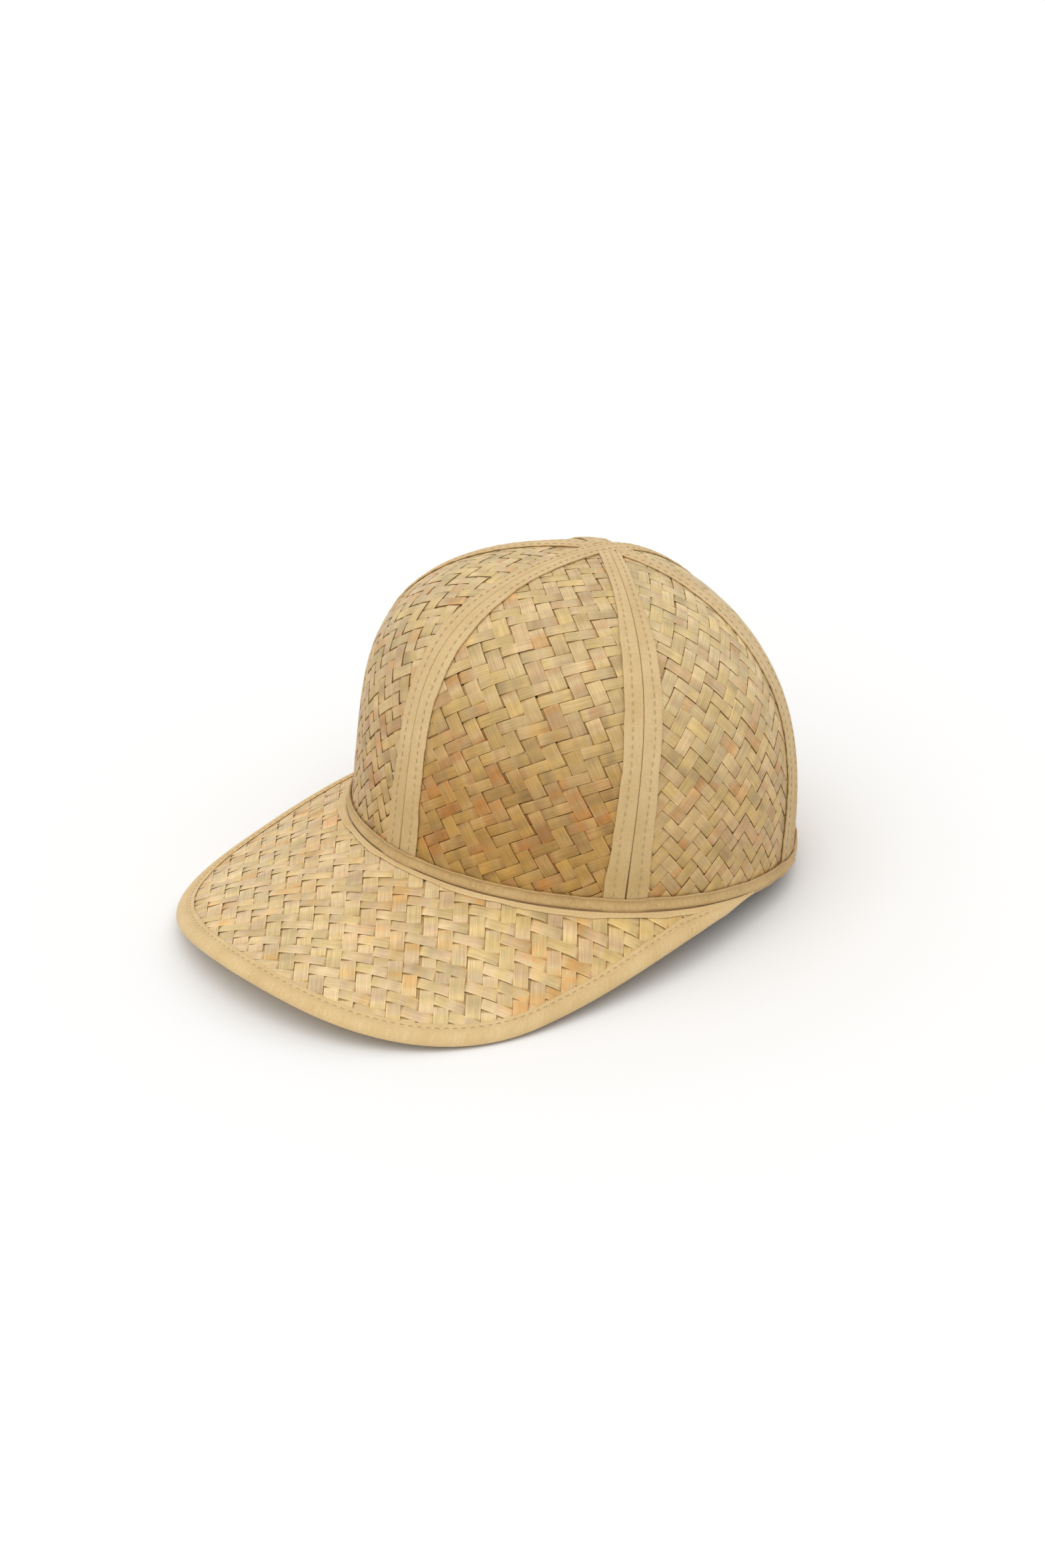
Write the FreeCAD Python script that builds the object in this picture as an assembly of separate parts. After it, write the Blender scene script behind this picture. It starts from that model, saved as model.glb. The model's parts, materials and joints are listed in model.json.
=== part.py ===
import FreeCAD, Part
import math
import os

from FreeCAD import Placement, Rotation, Vector

# A six-panel cap plaited from flat straw strips. The crown is six sewn panels, every panel edge is
# bound with cloth tape, and a stiffened, drooping brim is sewn to the front.
#
# The hat's own frame has z = 0 at the lower edge of the crown's weave, the brim towards -Y and the
# wearer's left at +X. SEAT carries that frame into the part's frame, in which the hat rests on
# z = 0 on the two low corners of its brim and on the back of its hem, half way along the hat.
#
# Every piece is a sheet bent in two directions, which no pad, loft of sketches or primitive gives,
# so each one is a Part::Feature built from curves through points on the crown's or brim's form.
# A bearing is an angle about the crown's axis, from 0 at the front towards the wearer's left.

DIMENSIONS = {
    # crown: half axes of the oval at the hem, height, and the curve of the front, side and back
    "crown_half_width": 90.0,
    "crown_half_length": 92.5,
    "crown_height": 118.4,
    "front_shoulder": 5.34,
    "front_taper": 1.69,
    "side_shoulder": 4.26,
    "side_taper": 1.60,
    "back_shoulder": 1.94,
    "back_taper": 2.00,
    "weave_thickness": 1.2,
    # cloth: seam tapes, hem binding and sweatband
    "tape_thickness": 0.5,
    "tape_width_low": 8.6,
    "tape_width_top": 4.4,
    "hem_height": 5.2,
    "hem_thickness": 1.0,
    "hem_inner_thickness": 0.6,
    "hem_fold": 0.8,
    "sweatband_height": 30.0,
    "sweatband_thickness": 1.0,
    "sewing_gap": 0.08,
    # brim: outline of five tangent arcs, and how far it droops as the hem's oval grows
    "brim_reach": 170.4,
    "brim_front_radius": 122.0,
    "brim_front_sweep": 16.0,
    "brim_corner_radius": 85.7,
    "brim_corner_end": 10.5,
    "brim_side_radius": 265.0,
    "brim_end_bearing": 92.0,
    "brim_rise": 1.6,
    "brim_droop": 33.7,
    "brim_corner_droop": 26.5,
    "mat_thickness": 1.2,
    "stiffener_thickness": 0.8,
    "edge_binding_width": 8.5,
    "inner_binding_width": 3.2,
}

# How many sections or rows of points each kind of piece is drawn through.
PANEL_ROWS = 21
PANEL_COLUMNS = 11
TAPE_STATIONS = 25
RING_STATIONS = 73
BRIM_STATIONS = 61
SEARCH_STEPS = 50
# The droop grows towards the brim's corners as the square of the sine of this many bearings.
CORNER_DROOP_RATE = 1.6
# Where the brim is narrow, its inner binding covers at most this share of it.
INNER_SHARE = 0.4
# Panels stop at this elevation, short of the apex, which the centre seam's tapes cover.
PANEL_TOP = math.radians(88.8)
# The hem binding's and the sweatband's ends meet at the back with this angle between them.
RING_END = math.radians(179.9)

doc = FreeCAD.newDocument("StrawCap")
sheet = doc.addObject("Spreadsheet::Sheet", "Dimensions")
for row, (alias, value) in enumerate(DIMENSIONS.items(), start=1):
    sheet.set("A%d" % row, alias)
    sheet.set("B%d" % row, str(value))
    sheet.setAlias("B%d" % row, alias)
doc.recompute()


def size(alias):
    return float(sheet.get(alias))


HALF_WIDTH = size("crown_half_width")
HALF_LENGTH = size("crown_half_length")
HEIGHT = size("crown_height")
WEAVE = size("weave_thickness")
TAPE = size("tape_thickness")
GAP = size("sewing_gap")
HEM_OUT = size("hem_thickness")
HEM_IN = -WEAVE - size("hem_inner_thickness")
BRIM_STACK = 2 * size("mat_thickness") + size("stiffener_thickness")


def search(low, high, keeps_low):
    """The value between low and high up to which a condition holds."""
    for _ in range(SEARCH_STEPS):
        middle = (low + high) / 2
        if keeps_low(middle):
            low = middle
        else:
            high = middle
    return low


# ---- The crown's form -------------------------------------------------------------------------


def profile(level, side):
    """Radius of the front, side or back profile at a level from 0 at the hem to 1 at the apex."""
    rounded = 1 - max(level, 0.0) ** size(side + "_shoulder")
    return rounded ** (1 / size(side + "_taper"))


def is_inside(point, offset):
    """Whether a point is within the crown's form, grown outwards by an offset."""
    level = point.z / (HEIGHT + offset)
    if level >= 1:
        return False
    front = (HALF_LENGTH + offset) * profile(level, "front")
    back = (HALF_LENGTH + offset) * profile(level, "back")
    half_width = (HALF_WIDTH + offset) * profile(level, "side")
    along = (point.y - (back - front) / 2) / ((front + back) / 2)
    return math.hypot(point.x / half_width, along) < 1


def crown_point(start, bearing, elevation, offset):
    """Where a ray from a start inside the crown meets its form, grown by an offset."""
    level_part = math.cos(elevation)
    ray = Vector(level_part * math.sin(bearing), -level_part * math.cos(bearing), math.sin(elevation))
    reach = search(0.0, 2 * HEIGHT, lambda distance: is_inside(start + ray * distance, offset))
    return start + ray * reach


# ---- The brim's form --------------------------------------------------------------------------


def oval_radius(bearing):
    """Distance in plan from the axis to the hem's oval, at an eccentric bearing."""
    return math.hypot(HALF_WIDTH * math.sin(bearing), HALF_LENGTH * math.cos(bearing))


def brim_vertex(bearing, distance, lift):
    """A point on a ray beyond the hem binding, a lift above the brim's upper face."""
    growth = 1 + (HEM_OUT + GAP + distance) / oval_radius(bearing)
    corner = math.sin(CORNER_DROOP_RATE * bearing) ** 2
    droop = size("brim_droop") + size("brim_corner_droop") * corner
    x = HALF_WIDTH * growth * math.sin(bearing)
    y = -HALF_LENGTH * growth * math.cos(bearing)
    return Vector(x, y, size("brim_rise") - (growth - 1) * droop + lift)


def outline_arcs():
    """Centre, radius and the two end angles of the front, corner and side arcs, in plan."""
    sweep = math.radians(size("brim_front_sweep"))
    corner_end = math.radians(size("brim_corner_end"))
    front = size("brim_front_radius")
    corner = size("brim_corner_radius")
    side = size("brim_side_radius")
    front_centre = Vector(0, front - size("brim_reach"), 0)
    to_corner = Vector(math.sin(sweep), -math.cos(sweep), 0)
    corner_centre = front_centre + to_corner * (front - corner)
    to_side = Vector(math.cos(corner_end), -math.sin(corner_end), 0)
    side_centre = corner_centre - to_side * (side - corner)
    joint = sweep - math.pi / 2
    return [
        (front_centre, front, -math.pi, joint),
        (corner_centre, corner, joint, -corner_end),
        (side_centre, side, -corner_end, math.pi / 4),
    ]


def rim_distance(bearing):
    """Distance from the hem binding to the brim's outline, along a ray at this bearing."""
    ray = Vector(HALF_WIDTH * math.sin(abs(bearing)), -HALF_LENGTH * math.cos(bearing), 0)
    ray.normalize()
    for centre, radius, start, end in outline_arcs():
        along = centre.dot(ray)
        reach = along + math.sqrt(radius**2 - centre.dot(centre) + along**2)
        spoke = ray * reach - centre
        if start <= math.atan2(spoke.y, spoke.x) < end:
            return reach - oval_radius(bearing) - HEM_OUT - GAP
    raise ValueError("no arc of the brim's outline lies at this bearing")


def brim_bearings():
    end = math.radians(size("brim_end_bearing"))
    return [end * (2 * step / (BRIM_STATIONS - 1) - 1) for step in range(BRIM_STATIONS)]


# ---- How the hat rests ------------------------------------------------------------------------


def lean(pitch):
    return Rotation(Vector(1, 0, 0), -pitch)


def lowest(points, pitch):
    return min(lean(pitch).multVec(point).z for point in points)


def seat():
    """Places the hat's frame so that brim and hem rest on z = 0 and y = 0 is half way along."""
    under_rim = -BRIM_STACK - GAP - TAPE
    rim = [brim_vertex(bearing, rim_distance(bearing), under_rim) for bearing in brim_bearings()]
    hem = [Vector(0, HALF_LENGTH + HEM_OUT, -size("hem_fold"))]
    pitch = search(0.0, 30.0, lambda angle: lowest(rim, angle) < lowest(hem, angle))
    back = Vector(0, HALF_LENGTH + HEM_OUT, size("hem_height"))
    front_y = min(lean(pitch).multVec(point).y for point in rim)
    back_y = lean(pitch).multVec(back).y
    return Placement(Vector(0, -(front_y + back_y) / 2, -lowest(hem, pitch)), lean(pitch))


SEAT = seat()


# ---- Solids from sections and from rows of points ---------------------------------------------


def curve_through(points):
    parameters = [step / (len(points) - 1) for step in range(len(points))]
    curve = Part.BSplineCurve()
    curve.interpolate(Points=points, Parameters=parameters)
    return curve.toShape()


def add_piece(name, faces):
    """Sews faces into a closed solid in the hat's frame and seats it in the part's frame."""
    shell = Part.makeShell(faces)
    shell.sewShape()
    solid = Part.makeSolid(shell)
    if solid.Volume < 0:
        solid.reverse()
    piece = doc.addObject("Part::Feature", name)
    piece.Shape = solid
    piece.Placement = SEAT
    return piece


def swept_piece(name, sections):
    """A solid through plane sections with equal numbers of corners, each corner a smooth curve."""
    tracks = [curve_through(list(points)) for points in zip(*sections)]
    faces = []
    for index, track in enumerate(tracks):
        faces.append(Part.makeRuledSurface(track, tracks[index - 1]))
    for section in (sections[0], sections[-1]):
        faces.append(Part.Face(Part.makePolygon(section + section[:1])))
    return add_piece(name, faces)


def surface_through(rows):
    surface = Part.BSplineSurface()
    surface.interpolate(rows)
    return surface


def edges_of(surface):
    """The four boundary curves of a surface, in a fixed order."""
    u_start, u_end, v_start, v_end = surface.bounds()
    isos = [surface.uIso(u_start), surface.uIso(u_end), surface.vIso(v_start), surface.vIso(v_end)]
    return [iso.toShape() for iso in isos]


def layered_piece(name, outer_rows, inner_rows):
    """A solid between two surfaces drawn through rows of points, with a wall along each edge."""
    outer = surface_through(outer_rows)
    inner = surface_through(inner_rows)
    faces = [outer.toShape(), inner.toShape()]
    for outer_edge, inner_edge in zip(edges_of(outer), edges_of(inner)):
        faces.append(Part.makeRuledSurface(outer_edge, inner_edge))
    return add_piece(name, faces)


# ---- Crown panels -----------------------------------------------------------------------------

PANEL_NAMES = ["front_left", "side_left", "back_left", "back_right", "side_right", "front_right"]
PANEL_SWEEP = 2 * math.pi / len(PANEL_NAMES)


def panel_rows(index, offset):
    """Rows of points on one panel, whose edges keep clear of the folds of its two seam tapes."""
    middle = (index + 0.5) * PANEL_SWEEP
    setback = (TAPE + GAP) / math.sin(PANEL_SWEEP / 2)
    start = Vector(math.sin(middle), -math.cos(middle), 0) * setback
    rows = []
    for row in range(PANEL_ROWS):
        elevation = PANEL_TOP * row / (PANEL_ROWS - 1)
        bearings = [PANEL_SWEEP * (index + step / (PANEL_COLUMNS - 1)) for step in range(PANEL_COLUMNS)]
        rows.append([crown_point(start, bearing, elevation, offset) for bearing in bearings])
    return rows


def crown_panel(index, name):
    return layered_piece(name + "_panel", panel_rows(index, 0.0), panel_rows(index, -WEAVE))


# ---- Seam tapes -------------------------------------------------------------------------------


def tape_width(height):
    share = height / HEIGHT
    return size("tape_width_low") * (1 - share) + size("tape_width_top") * share


def seam_point(bearing, elevation, aside, offset):
    """A point on the crown's form at a distance to one side of a seam's plane."""
    start = Vector(math.cos(bearing), math.sin(bearing), 0) * aside
    return crown_point(start, bearing, elevation, offset)


def tape_section(bearing, elevation, side):
    """Corners of a tape folded over a panel's edge: an outer leg, the fold and an inner leg."""
    width = tape_width(seam_point(bearing, elevation, 0.0, 0.0).z)
    upper = [(TAPE, GAP), (width, GAP), (width, TAPE + GAP), (0.0, TAPE + GAP)]
    under = -WEAVE - GAP
    lower = [(0.0, under - TAPE), (width, under - TAPE), (width, under), (TAPE, under)]
    corners = upper + lower
    return [seam_point(bearing, elevation, side * aside, offset) for aside, offset in corners]


def tape_start(bearing):
    """Elevation at which a seam comes out from under the hem binding."""
    hem_top = size("hem_height") + GAP
    return search(0.0, math.pi / 4, lambda angle: seam_point(bearing, angle, 0.0, 0.0).z < hem_top)


def tape_end(bearing):
    """Elevation at which a side seam's tapes meet the centre seam's tape or their neighbours."""

    def is_clear(elevation):
        crest = seam_point(bearing, elevation, 0.0, 0.0)
        width = tape_width(crest.z)
        reach = math.hypot(crest.x, crest.y)
        nearest = reach * math.sin(PANEL_SWEEP) - width * math.cos(PANEL_SWEEP)
        return nearest > width + GAP and reach * math.tan(PANEL_SWEEP / 2) > width + GAP

    return search(math.pi / 4, math.pi / 2, is_clear)


def seam_tape(name, bearing, side, end):
    start = tape_start(bearing)
    sections = []
    for step in range(TAPE_STATIONS):
        elevation = start + (end - start) * step / (TAPE_STATIONS - 1)
        sections.append(tape_section(bearing, elevation, side))
    return swept_piece(name, sections)


# ---- Hem binding and sweatband ----------------------------------------------------------------


def ring(name, corners):
    """A band round the crown's lower edge, from its section's corners as offsets and heights."""
    sections = []
    for step in range(RING_STATIONS):
        bearing = RING_END * (2 * step / (RING_STATIONS - 1) - 1)
        section = []
        for offset, height in corners:
            section.append(crown_point(Vector(0, 0, height), bearing, 0.0, offset))
        sections.append(section)
    return swept_piece(name, sections)


def hem_corners():
    """The hem binding is folded up over both faces of the panels' lower edge."""
    top = size("hem_height")
    fold = -size("hem_fold")
    outer = [(GAP, -GAP), (GAP, top), (HEM_OUT, top), (HEM_OUT, fold)]
    inner = [(HEM_IN, fold), (HEM_IN, top), (-WEAVE - GAP, top), (-WEAVE - GAP, -GAP)]
    return outer + inner


def sweatband_corners():
    """The sweatband follows the crown's inner face in four steps of height."""
    outside = HEM_IN - GAP
    inside = outside - size("sweatband_thickness")
    heights = [size("sweatband_height") * step / 4 for step in range(5)]
    outer = [(outside, height) for height in heights]
    inner = [(inside, height) for height in reversed(heights)]
    return outer + inner


# ---- Brim -------------------------------------------------------------------------------------


def brim_piece(name, corners):
    """A solid along the brim, from a function that gives its section's corners for a width."""
    sections = []
    for bearing in brim_bearings():
        section = corners(rim_distance(bearing))
        sections.append([brim_vertex(bearing, distance, lift) for distance, lift in section])
    return swept_piece(name, sections)


def mat_corners(top, thickness):
    """Corners of a layer that lies between the folds of the two bindings."""
    inner = TAPE + GAP
    low = top - thickness

    def corners(rim):
        return [(inner, top), (rim - inner, top), (rim - inner, low), (inner, low)]

    return corners


def inner_binding_leg(rim):
    return min(size("inner_binding_width"), INNER_SHARE * rim)


def edge_binding_corners(rim):
    """Corners of the tape folded over the brim's outer edge."""
    leg = max(rim - size("edge_binding_width"), inner_binding_leg(rim) + GAP)
    low = -BRIM_STACK - GAP
    upper = [(rim - TAPE, GAP), (leg, GAP), (leg, GAP + TAPE), (rim, GAP + TAPE)]
    lower = [(rim, low - TAPE), (leg, low - TAPE), (leg, low), (rim - TAPE, low)]
    return upper + lower


def inner_binding_corners(rim):
    """Corners of the tape folded over the brim's inner edge, against the hem binding."""
    leg = inner_binding_leg(rim)
    low = -BRIM_STACK - GAP
    upper = [(TAPE, GAP), (leg, GAP), (leg, GAP + TAPE), (0.0, GAP + TAPE)]
    lower = [(0.0, low - TAPE), (leg, low - TAPE), (leg, low), (TAPE, low)]
    return upper + lower


# ---- The hat ----------------------------------------------------------------------------------

nodes = [crown_panel(index, name) for index, name in enumerate(PANEL_NAMES)]

# The two halves of the crown are joined last, so the centre seam's tapes run over the apex from
# the front of the hem to its back, and each side seam's two tapes end against them.
over_the_apex = math.pi - tape_start(math.pi)
nodes.append(seam_tape("center_seam_tape_left", 0.0, 1, over_the_apex))
nodes.append(seam_tape("center_seam_tape_right", 0.0, -1, over_the_apex))

SIDE_SEAMS = [("left_front", 1), ("left_back", 2), ("right_back", 4), ("right_front", 5)]
for seam, place in SIDE_SEAMS:
    bearing = place * PANEL_SWEEP
    for side in (-1, 1):
        faces_front = (side < 0) == (place < 3)
        name = "%s_seam_tape_%s" % (seam, "front" if faces_front else "rear")
        nodes.append(seam_tape(name, bearing, side, tape_end(bearing)))

nodes.append(ring("hem_binding", hem_corners()))
nodes.append(ring("sweatband", sweatband_corners()))

MAT = size("mat_thickness")
nodes.append(brim_piece("brim_top_mat", mat_corners(0.0, MAT)))
nodes.append(brim_piece("brim_stiffener", mat_corners(-MAT, size("stiffener_thickness"))))
nodes.append(brim_piece("brim_bottom_mat", mat_corners(MAT - BRIM_STACK, MAT)))
nodes.append(brim_piece("brim_edge_binding", edge_binding_corners))
nodes.append(brim_piece("brim_inner_binding", inner_binding_corners))

# ---- Check and write --------------------------------------------------------------------------

doc.recompute()
failed = [item.Name for item in doc.Objects if {"Invalid", "Error"} & set(item.State)]
if failed:
    raise RuntimeError("these did not compute: %s" % ", ".join(failed))

os.makedirs("parts", exist_ok=True)
bounds = FreeCAD.BoundBox()
for node in nodes:
    node.Label = node.Name
    shape = node.Shape
    if shape.isNull() or not shape.isValid() or len(shape.Solids) != 1:
        raise RuntimeError("%s is not one valid solid" % node.Label)
    shape.exportStep("parts/%s.step" % node.Label)
    bounds.add(shape.optimalBoundingBox())
    print("%-28s %9.1f mm3" % (node.Label, shape.Volume))

print("leans back %.3f degrees" % math.degrees(SEAT.Rotation.Angle))
print("middle of the hem's plane at y %.3f, z %.3f" % (SEAT.Base.y, SEAT.Base.z))
print("box x %.2f..%.2f" % (bounds.XMin, bounds.XMax))
print("box y %.2f..%.2f" % (bounds.YMin, bounds.YMax))
print("box z %.2f..%.2f" % (bounds.ZMin, bounds.ZMax))
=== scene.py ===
import json
import math

import bmesh
import bpy
import numpy as np
from mathutils import Matrix, Vector


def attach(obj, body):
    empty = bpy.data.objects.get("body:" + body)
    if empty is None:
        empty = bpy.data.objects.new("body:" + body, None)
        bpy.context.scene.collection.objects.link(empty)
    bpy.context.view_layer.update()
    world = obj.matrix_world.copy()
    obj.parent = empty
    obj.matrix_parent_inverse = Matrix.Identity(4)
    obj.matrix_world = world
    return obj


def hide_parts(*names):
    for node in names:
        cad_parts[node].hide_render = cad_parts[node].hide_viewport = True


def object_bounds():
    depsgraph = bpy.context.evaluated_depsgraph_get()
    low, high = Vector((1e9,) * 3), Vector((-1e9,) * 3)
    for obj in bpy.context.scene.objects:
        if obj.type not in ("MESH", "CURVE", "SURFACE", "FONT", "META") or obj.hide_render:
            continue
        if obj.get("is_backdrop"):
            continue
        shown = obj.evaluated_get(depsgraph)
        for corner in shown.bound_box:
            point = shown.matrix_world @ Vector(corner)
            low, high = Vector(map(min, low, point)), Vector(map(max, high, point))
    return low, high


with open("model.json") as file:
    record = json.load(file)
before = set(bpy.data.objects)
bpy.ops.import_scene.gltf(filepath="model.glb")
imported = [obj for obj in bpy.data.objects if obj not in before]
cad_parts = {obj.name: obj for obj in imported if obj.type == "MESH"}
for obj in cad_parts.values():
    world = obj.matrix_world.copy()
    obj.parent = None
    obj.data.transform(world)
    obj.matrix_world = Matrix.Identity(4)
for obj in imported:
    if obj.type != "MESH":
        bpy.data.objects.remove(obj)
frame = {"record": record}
cad_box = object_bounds()

# A straw cap: woven panels, cloth seam tapes, a folded hem, a sweatband and a woven brim.
#
# Shapes are worked out in millimetres in the hat's own frame, whose z = 0 is the lower edge of
# the crown's straw, with the brim towards -y and the wearer's left at +x. seated() carries them
# into the row frame. A bearing is an angle about the crown's axis, from 0 at the front towards
# the wearer's left. An offset is a height above the crown's outer face, and a lift is a height
# above the brim's upper face.

MM = 0.001
WELD_DISTANCE = 2e-6
ROOT = "root"
SIDES = ("front", "side", "back")

# The crown and the brim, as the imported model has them.
HALF_WIDTH = 90.0
HALF_LENGTH = 92.5
HEIGHT = 118.4
SHOULDER = {"front": 5.34, "side": 4.26, "back": 1.94}
TAPER = {"front": 1.69, "side": 1.60, "back": 2.00}
WEAVE = 1.2
HEM_TOP = 5.2
HEM_OUT = 1.08
BRIM_REACH = 170.4
BRIM_FRONT = (122.0, math.radians(16.0))
BRIM_CORNER = (85.7, math.radians(10.5))
BRIM_SIDE_RADIUS = 265.0
BRIM_END = math.radians(99.0)
BRIM_RISE = 1.6
BRIM_DROOP = 33.7
BRIM_CORNER_DROOP = 26.5
CORNER_DROOP_RATE = 1.6
BRIM_THICKNESS = 2.7

PANEL_SWEEP = math.pi / 3
TAPE_LOW = 8.8

opening = next(m for m in frame["record"]["mounts"] if m["name"] == "head_opening")
HAT_BASE = np.array(opening["pos_m"])
HAT_UP = -np.array(opening["axis"])
HAT_AXES = np.array([[1.0, 0.0, 0.0], np.cross(HAT_UP, [1.0, 0.0, 0.0]), HAT_UP])


def seated(points):
    """Millimetres in the hat's frame to metres in the row frame."""
    return HAT_BASE + MM * np.asarray(points) @ HAT_AXES


def stack(*parts):
    return np.stack(np.broadcast_arrays(*parts), axis=-1)


def smooth(value, low, high):
    """Rises smoothly from 0 at low to 1 at high."""
    share = np.clip((value - low) / (high - low), 0.0, 1.0)
    return share * share * (3 - 2 * share)


# The waves that make up a ripple, as (share of its wavelength, height).
RIPPLE_WAVES = ((1.0, 0.6), (0.57, 0.4), (0.31, 0.25))


def ripple(position, wavelength, seed):
    """A smooth, seeded random wave of about unit height along a line."""
    waves = np.random.default_rng(seed)
    total = 0.0
    for stretch, height in RIPPLE_WAVES:
        phase = waves.uniform(0, 2 * math.pi)
        total = total + height * np.sin(2 * math.pi * position / (wavelength * stretch) + phase)
    return total


# ---- Forms ------------------------------------------------------------------------------------


def profile(level, side):
    return (1 - np.maximum(level, 0.0) ** SHOULDER[side]) ** (1 / TAPER[side])


def is_inside(points, offset):
    level = points[..., 2] / (HEIGHT + offset)
    below = level < 1
    level = np.where(below, level, 0.5)
    front, side, back = (profile(level, name) for name in SIDES)
    along = points[..., 1] / (HALF_LENGTH + offset) - (back - front) / 2
    across = points[..., 0] / (HALF_WIDTH + offset) / side
    return below & (np.hypot(across, along / ((front + back) / 2)) < 1)


HALVINGS = 30


def on_crown(start, direction, offset):
    """Where rays from inside the crown meet its form, grown outwards by an offset."""
    near = np.zeros(np.broadcast_shapes(start.shape, direction.shape)[:-1])
    far = near + 2 * HEIGHT
    for _ in range(HALVINGS):
        middle = (near + far) / 2
        inside = is_inside(start + direction * middle[..., None], offset)
        near = np.where(inside, middle, near)
        far = np.where(inside, far, middle)
    return start + direction * near[..., None]


def seam_point(bearing, elevation, aside, offset):
    """A point on the crown, seen from its base at an elevation, to one side of a seam's plane."""
    bearing, elevation, aside = np.broadcast_arrays(bearing, elevation, aside)
    start = stack(np.cos(bearing) * aside, np.sin(bearing) * aside, 0.0)
    level = np.cos(elevation)
    ray = stack(level * np.sin(bearing), -level * np.cos(bearing), np.sin(elevation))
    return on_crown(start, ray, offset)


def crown_ring(bearing, height, offset):
    """A point on the crown at a height above its lower edge."""
    bearing, height = np.broadcast_arrays(bearing, height)
    ray = stack(np.sin(bearing), -np.cos(bearing), 0.0)
    return on_crown(stack(0.0, 0.0, height), ray, offset)


def oval_radius(bearing):
    return np.hypot(HALF_WIDTH * np.sin(bearing), HALF_LENGTH * np.cos(bearing))


def brim_height(growth, bearing):
    droop = BRIM_DROOP + BRIM_CORNER_DROOP * np.sin(CORNER_DROOP_RATE * bearing) ** 2
    return BRIM_RISE - (growth - 1) * droop


def brim_point(bearing, distance, lift):
    growth = 1 + (HEM_OUT + distance) / oval_radius(bearing)
    x = HALF_WIDTH * growth * np.sin(bearing)
    y = -HALF_LENGTH * growth * np.cos(bearing)
    return stack(x, y, brim_height(growth, bearing) + lift)


def rim_distance(bearing):
    """Distance from the hem to the brim's outline of tangent arcs, along a bearing."""
    ray = stack(HALF_WIDTH * np.sin(np.abs(bearing)), -HALF_LENGTH * np.cos(bearing))
    ray = ray / np.linalg.norm(ray, axis=-1, keepdims=True)
    front, sweep = BRIM_FRONT
    corner, corner_end = BRIM_CORNER
    centre = np.array([0.0, front - BRIM_REACH])
    arcs = [(centre, front, sweep - math.pi / 2)]
    centre = centre + np.array([math.sin(sweep), -math.cos(sweep)]) * (front - corner)
    arcs.append((centre, corner, -corner_end))
    outward = np.array([math.cos(corner_end), -math.sin(corner_end)])
    arcs.append((centre - outward * (BRIM_SIDE_RADIUS - corner), BRIM_SIDE_RADIUS, math.pi))
    reach = np.full(ray.shape[:-1], np.nan)
    for centre, radius, end in arcs:
        along = ray @ centre
        distance = along + np.sqrt(radius**2 - centre @ centre + along**2)
        spoke = ray * distance[..., None] - centre
        found = np.isnan(reach) & (np.arctan2(spoke[..., 1], spoke[..., 0]) < end)
        reach = np.where(found, distance, reach)
    return reach - oval_radius(bearing) - HEM_OUT


# ---- Meshes -----------------------------------------------------------------------------------


def loft(sections, closed=False):
    """Points and faces of a tube through sections of equal size, an array of shape (n, k, 3)."""
    count, corners = sections.shape[:2]
    steps = np.arange(count if closed else count - 1)[:, None]
    first = np.arange(corners)[None, :]
    second = (first + 1) % corners
    after = (steps + 1) % count
    quads = stack(
        steps * corners + first,
        steps * corners + second,
        after * corners + second,
        after * corners + first,
    ).reshape(-1, 4)
    faces = quads.tolist()
    if not closed:
        faces.append(list(range(corners))[::-1])
        faces.append(list(range((count - 1) * corners, count * corners)))
    return sections.reshape(-1, 3), faces


def joined(shapes):
    """Several (points, faces) as one."""
    points, faces, start = [], [], 0
    for shape_points, shape_faces in shapes:
        points.append(shape_points)
        faces.extend([[start + corner for corner in face] for face in shape_faces])
        start += len(shape_points)
    return np.concatenate(points), faces


def make_piece(name, shape, material, replaced=(), attributes=None):
    """Makes an object that rides on the hat, with vector attributes for its material to read."""
    points, faces = shape
    mesh = bpy.data.meshes.new(name)
    mesh.from_pydata(seated(points).tolist(), [], faces)
    for key, values in (attributes or {}).items():
        layer = mesh.attributes.new(key, "FLOAT_VECTOR", "POINT")
        layer.data.foreach_set("vector", np.asarray(values, np.float32).ravel())
    clean = bmesh.new()
    clean.from_mesh(mesh)
    bmesh.ops.remove_doubles(clean, verts=clean.verts, dist=WELD_DISTANCE)
    bmesh.ops.recalc_face_normals(clean, faces=clean.faces)
    clean.to_mesh(mesh)
    clean.free()
    mesh.shade_smooth()
    mesh.materials.append(material)
    piece = bpy.data.objects.new(name, mesh)
    bpy.context.scene.collection.objects.link(piece)
    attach(piece, ROOT)
    if replaced:
        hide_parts(*replaced)
    return piece


# ---- Materials --------------------------------------------------------------------------------


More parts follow.
